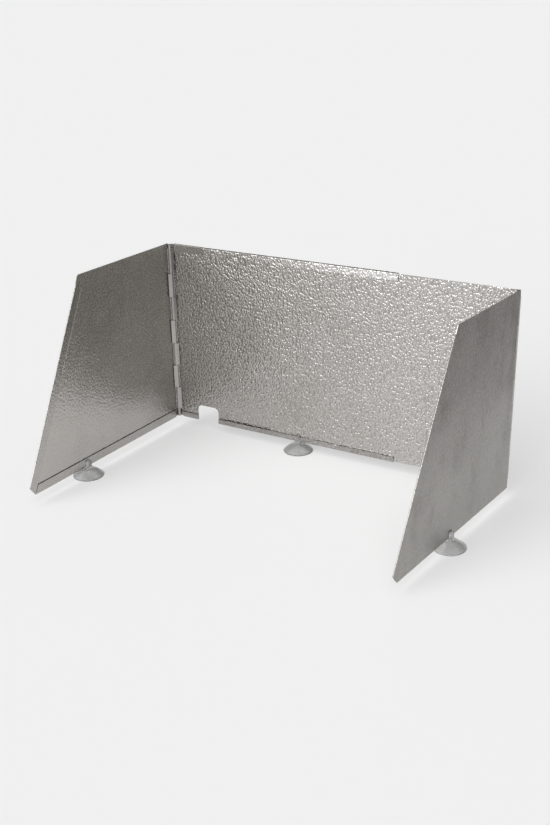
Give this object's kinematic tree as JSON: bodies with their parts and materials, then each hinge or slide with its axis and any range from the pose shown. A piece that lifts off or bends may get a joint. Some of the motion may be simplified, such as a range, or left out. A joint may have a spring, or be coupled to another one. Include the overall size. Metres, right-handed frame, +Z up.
{
  "type": "stove windscreen",
  "caption": "Folding aluminium windscreen for a camp stove, with a sliding two-part back, tapered hinged wings and clear suction-cup feet.",
  "frame": {"origin": "under the middle of the standing screen, on the surface that its suction cups stand on", "axes": "+X along the back towards the sliding half, +Y to the rear, +Z up"},
  "size_m": [0.5164, 0.3122, 0.263],
  "materials": {
    "embossed_aluminium": "stucco-embossed mill sheet, dull and lightly stained",
    "hinge_wire": "drawn wire, bright",
    "clear_vinyl": "clear soft vinyl, smooth"
  },
  "bodies": {
    "back": {"fixed_back_panel": "embossed_aluminium", "left_hinge_pin": "hinge_wire", "back_suction_cup": "clear_vinyl"},
    "slider": {"sliding_back_panel": "embossed_aluminium", "right_hinge_pin": "hinge_wire"},
    "left_wing": {"left_wing_panel": "embossed_aluminium", "left_suction_cup": "clear_vinyl"},
    "right_wing": {"right_wing_panel": "embossed_aluminium", "right_suction_cup": "clear_vinyl"}
  },
  "joints": [
    {"name": "left_wing_hinge", "type": "hinge", "parent": "back", "child": "left_wing", "pos_m": [-0.22486, 0.13443, 0.013], "axis": [0, 0, 1], "range_deg": [-86, 81]},
    {"name": "back_slide", "type": "slide", "parent": "back", "child": "slider", "axis": [1, 0, 0], "range_m": [-0.074, 0.14]},
    {"name": "right_wing_hinge", "type": "hinge", "parent": "slider", "child": "right_wing", "pos_m": [0.25314, 0.13333, 0.013], "axis": [0, 0, -1], "range_deg": [-96, 81]}
  ]
}
